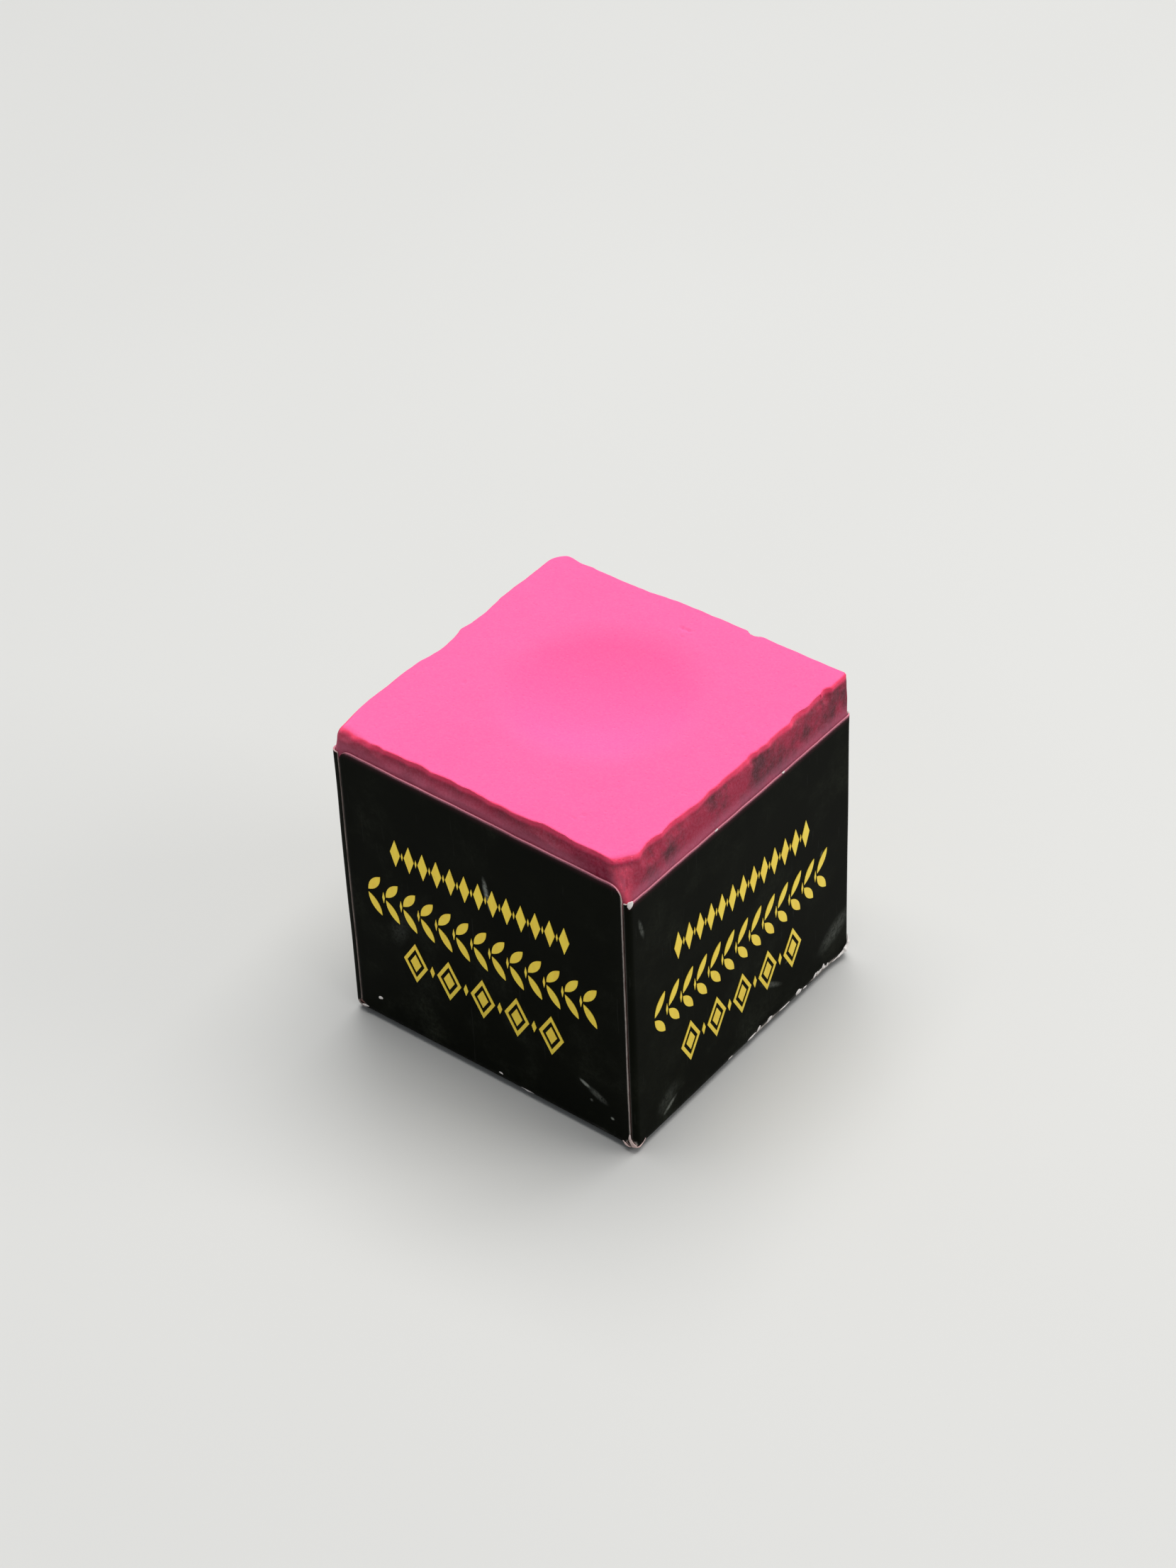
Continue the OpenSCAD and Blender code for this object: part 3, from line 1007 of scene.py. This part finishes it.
# Where the label's paper is torn: the side, the place along it and up it as shares of the cube's
# width, the length and width of the tear, and the degrees by which its length leans from level
TEARS = [
    (FRONT, 0.009, 0.888, 0.6, 0.46, 30),
    (FRONT, 0.379, 0.886, 0.3, 0.12, -2),
    (FRONT, 0.679, 0.881, 0.24, 0.14, -2),
    (LEFT, 0.1, 0.09, 0.42, 0.2, 20),
    (LEFT, 0.04, 0.03, 0.45, 0.18, 0),
    (LEFT, 0.53, 0.04, 0.3, 0.14, 0),
    (LEFT, 0.62, 0.02, 1.1, 0.12, 0),
    (FRONT, 0.43, 0.026, 0.4, 0.14, 0),
    (FRONT, 0.53, 0.029, 0.8, 0.22, 8),
    (FRONT, 0.562, 0.036, 0.5, 0.2, 40),
    (FRONT, 0.612, 0.034, 0.6, 0.3, 16),
    (FRONT, 0.685, 0.028, 1.2, 0.12, 2),
    (FRONT, 0.752, 0.033, 0.62, 0.42, 12),
    (FRONT, 0.784, 0.027, 0.5, 0.14, -4),
    (FRONT, 0.832, 0.036, 0.4, 0.24, 60),
    (FRONT, 0.845, 0.038, 0.24, 0.16, 10),
    (FRONT, 0.855, 0.034, 0.55, 0.18, 30),
    (FRONT, 0.872, 0.042, 0.42, 0.18, 70),
    (FRONT, 0.878, 0.036, 0.3, 0.2, -40),
    (FRONT, 0.892, 0.032, 0.4, 0.16, 80),
    (RIGHT, 0.03, 0.02, 0.9, 0.26, -10),
    (RIGHT, 0.5, 0.018, 0.6, 0.16, 0),
    (BACK, 0.97, 0.02, 0.7, 0.22, 15),
    (BACK, 0.3, 0.018, 0.8, 0.16, 0),
]
# Strips of paper torn loose and curled, as paths of (x, y, z, half width) in millimetres from the foot
# of the label's near or right corner
NEAR_CURLS = [
    # The curl at the foot of the near joint
    [
        (0, 0.42, 1.5, 0.05),
        (0, 0.4, 1.15, 0.09),
        (0, 0.29, 0.85, 0.12),
        (0, 0.14, 0.6, 0.13),
        (0.1, 0.04, 0.4, 0.05),
    ],
    # The lip on its right
    [(0.12, 0.02, 0.4, 0.05), (0.35, 0, 0.44, 0.075), (0.6, 0, 0.56, 0.06), (0.82, 0, 0.8, 0.02)],
    # The scrap on its left
    [(0, 1.02, 0.68, 0.04), (0, 0.84, 0.58, 0.12), (0, 0.64, 0.48, 0.1), (0, 0.44, 0.42, 0.04)],
]
RIGHT_CURLS = [
    # The crescent at the end of the front fold
    [
        (-1.9, 0, 0.6, 0.03),
        (-1.3, 0, 0.62, 0.1),
        (-0.7, 0, 0.74, 0.2),
        (-0.3, 0, 1.05, 0.22),
        (0, 0.02, 1.7, 0.03),
    ],
]
# How far a scrap reaches down into the paper, how far its edge and its crumpled middle stand above it,
# and how far every torn piece keeps above the floor
SCRAP_SUNK = 0.02 * MM
SCRAP_EDGE = 0.008 * MM
SCRAP_DOME = 0.03 * MM
OFF_FLOOR = 0.01 * MM


def torn_strip(points, corner):
    """A closed strip with an oval section along a path on the label, with ragged sides."""
    spokes = 12
    steps = 41
    raggedness = 0.35
    # The strip's middle stands off the label by a length and a share of its half width
    stand_off = 0.03 * MM
    curl = 0.3
    # Its thickness as a share of its width
    fullness = 0.4
    path = smooth_path(np.array(points) * MM, steps)
    centre = settle(corner + path[:, :3], label_distance, 4)
    normals = surface_normals(centre, label_distance)
    forward = np.gradient(centre, axis=0)
    sideways = np.cross(normals, forward)
    sideways /= np.linalg.norm(sideways, axis=1)[:, None]
    half = path[:, 3] * (1 + raggedness * smooth_noise(centre, 0.15 * MM, 63))
    lift = label_swell(centre) + stand_off + curl * half
    middle = centre + normals * lift[:, None]
    rows = []
    for angle in np.linspace(0, 2 * math.pi, spokes, endpoint=False):
        across = sideways * (half * math.cos(angle))[:, None]
        rows.append(middle + across + normals * (fullness * half * math.sin(angle))[:, None])
    rings = np.stack(rows, axis=1).reshape(-1, 3)
    rings[:, 2] = np.maximum(rings[:, 2], OFF_FLOOR)
    faces = [tuple(reversed(range(spokes))), tuple(range(len(rings) - spokes, len(rings)))]
    for row in range(len(path) - 1):
        faces += ring_faces(row * spokes, (row + 1) * spokes, spokes)
    return rings, faces


def tear_patch(side, share_u, share_z, length, width, lean, draw):
    """One tear: a closed, thin, domed scrap with a ragged outline, laid on the label."""
    spokes = 26
    rings = 4
    raggedness = 0.28
    angles = np.linspace(0, 2 * math.pi, spokes, endpoint=False)
    wobble = sum(
        draw.uniform(0.4, 1) / n * np.sin(n * angles + draw.uniform(0, 6.3)) for n in (2, 3, 5, 8, 11)
    )
    outline = 1 + raggedness * wobble
    tilt = math.radians(lean)
    # Every point's place along the side and up it from the middle of the tear, and its inwardness
    spread = [(0.0, 0.0, 1.0)]
    for ring in np.arange(1, rings + 1) / rings:
        for angle, reach in zip(angles, outline):
            a = math.cos(angle) * reach * ring * length / 2 * MM
            b = math.sin(angle) * reach * ring * width / 2 * MM
            sideways = a * math.cos(tilt) - b * math.sin(tilt)
            upwards = a * math.sin(tilt) + b * math.cos(tilt)
            spread.append((sideways, upwards, 1 - ring))
    spread = np.array(spread)
    flat = place_on_label(side, share_u, share_z) + ALONG[side] * spread[:, :1] + UP * spread[:, 1:2]
    flat = settle(flat, label_distance, 4)
    normals = surface_normals(flat, label_distance)
    swell = label_swell(flat)
    crumple = SCRAP_DOME * (1 + layered_noise(flat, 0.22 * MM, 61, 2))
    height = SCRAP_EDGE + crumple * np.sqrt(np.maximum(spread[:, 2], 0))
    upper = flat + normals * (swell + height)[:, None]
    lower = flat + normals * (swell - SCRAP_SUNK)[:, None]
    count = len(flat)
    faces = [(0, 1 + i, 1 + (i + 1) % spokes) for i in range(spokes)]
    for ring in range(rings - 1):
        faces += ring_faces(1 + (ring + 1) * spokes, 1 + ring * spokes, spokes)
    rim = 1 + (rings - 1) * spokes
    under = [tuple(count + i for i in reversed(face)) for face in faces]
    faces += ring_faces(count + rim, rim, spokes)
    points = np.concatenate((upper, lower))
    points[:, 2] = np.maximum(points[:, 2], OFF_FLOOR)
    return points, faces + under


def build_tears():
    """All the torn places on the label, as one piece of many small closed scraps and strips."""
    draw = np.random.default_rng(62)
    near_corner = np.array((-LABEL_HALF, -LABEL_HALF, 0))
    right_corner = np.array((LABEL_HALF, -LABEL_HALF, 0))
    scraps = [tear_patch(*tear, draw) for tear in TEARS]
    scraps += [torn_strip(strip, near_corner) for strip in NEAR_CURLS]
    scraps += [torn_strip(strip, right_corner) for strip in RIGHT_CURLS]
    points, faces, start = [], [], 0
    for scrap, scrap_faces in scraps:
        points.append(scrap)
        faces += [tuple(start + i for i in face) for face in scrap_faces]
        start += len(scrap)
    made = mesh_object("torn_fibres", np.concatenate(points), faces, [torn_fibre_material()])
    weld(made, 0)
    store(made, "pink", near(points_of(made), near_corner, 1.6 * MM))
    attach(made, "root")


# ---------------------------------------------------------------- gold print


def build_print(name, side, foil):
    """One side's foil ornament: the CAD's shapes, cut into small faces and laid on the paper."""
    work = bmesh.new()
    work.from_mesh(frame["nodes"][name].data)
    bmesh.ops.remove_doubles(work, verts=work.verts, dist=TOUCHING)
    low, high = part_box(name)
    spacing = 0.3 * MM
    for axis in (ALONG[side], UP):
        ends = sorted((Vector(axis).dot(low), Vector(axis).dot(high)))
        for at in np.arange(ends[0] + spacing, ends[1], spacing):
            everything = work.verts[:] + work.edges[:] + work.faces[:]
            bmesh.ops.bisect_plane(work, geom=everything, plane_co=Vector(axis) * at, plane_no=Vector(axis))
    mesh = bpy.data.meshes.new(name)
    work.to_mesh(mesh)
    work.free()
    mesh.materials.append(foil)
    made = add_object("foil_" + name.split("_")[-1], mesh)
    points = points_of(made)
    flat = points + OUTWARD[side] * (LABEL_HALF - points @ OUTWARD[side])[:, None]
    move_points(made, points + OUTWARD[side] * label_swell(flat)[:, None])
    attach(made, "root")
    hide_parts(name)


# ---------------------------------------------------------------- stage, light and camera


FLOOR_REACH = 2.5


def build_floor():
    """A wide pale floor under the cube."""
    work = bmesh.new()
    bmesh.ops.create_grid(work, x_segments=8, y_segments=8, size=FLOOR_REACH)
    mesh = bpy.data.meshes.new("floor")
    work.to_mesh(mesh)
    work.free()
    mesh.materials.append(floor_material())
    made = add_object("floor", mesh)


def soft_light(name, place, size, power, tint):
    """A square soft box at place, aimed at the cube."""
    data = bpy.data.lights.new(name, "AREA")
    data.size = size
    data.energy = power
    data.color = tint
    made = add_object(name, data)
    made.location = place
    middle = Vector((0, 0, CUBE_TOP / 2))
    made.rotation_euler = (middle - Vector(place)).to_track_quat("-Z", "Y").to_euler()


def build_lights():
    """An overhead soft box, a weak fill from the front right, and an even surround."""
    soft_light("key", place=(0.1, 0.02, 0.5), size=0.45, power=3.4, tint=(1.0, 0.99, 0.97))
    soft_light("fill", place=(0.25, -0.45, 0.3), size=0.3, power=0.8, tint=(1.0, 0.98, 0.95))
    world = bpy.data.worlds.new("surround")
    world.use_nodes = True
    background = world.node_tree.nodes["Background"]
    background.inputs["Color"].default_value = colour(0.9, 0.95, 1.0)
    background.inputs["Strength"].default_value = 0.25
    bpy.context.scene.world = world


# The view: degrees round the cube from the front, degrees above the floor, degrees of lean to the
# left, and in cube widths the distance and how far the cube's middle lies right of and below the
# middle of the picture.
VIEW_ROUND = -50.5
VIEW_ABOVE = 39.41
VIEW_LEAN = 2.56
VIEW_DISTANCE = 10.037
VIEW_RIGHT = 0.0274
VIEW_BELOW = 0.166
LENS = 83.5
SENSOR = 36.0


def build_camera():
    """The camera, turned round the cube's middle."""
    data = bpy.data.cameras.new("camera")
    data.lens = LENS
    data.sensor_width = SENSOR
    data.clip_start = 0.01
    data.clip_end = 20
    made = add_object("camera", data)
    width = 2 * LABEL_HALF
    turn = Matrix.Rotation(math.radians(VIEW_ROUND), 4, "Z")
    tilt = Matrix.Rotation(math.radians(90 - VIEW_ABOVE), 4, "X")
    lean = Matrix.Rotation(math.radians(-VIEW_LEAN), 4, "Z")
    back_off = Matrix.Translation(Vector((-VIEW_RIGHT, VIEW_BELOW, VIEW_DISTANCE)) * width)
    middle = Matrix.Translation((0, 0, CUBE_TOP / 2))
    made.matrix_world = middle @ turn @ tilt @ lean @ back_off
    bpy.context.scene.camera = made


# ---------------------------------------------------------------- the whole scene

build_floor()
build_lights()
build_camera()
build_chalk()
build_label()
build_tears()
frame["nodes"]["glue_film"].data.materials.clear()
frame["nodes"]["glue_film"].data.materials.append(glue_material())
GOLD = gold_foil_material()
for side_number, side_name in enumerate(("front", "right", "back", "left")):
    build_print("gold_print_" + side_name, side_number, GOLD)
bpy.context.scene.view_settings.view_transform = "Standard"
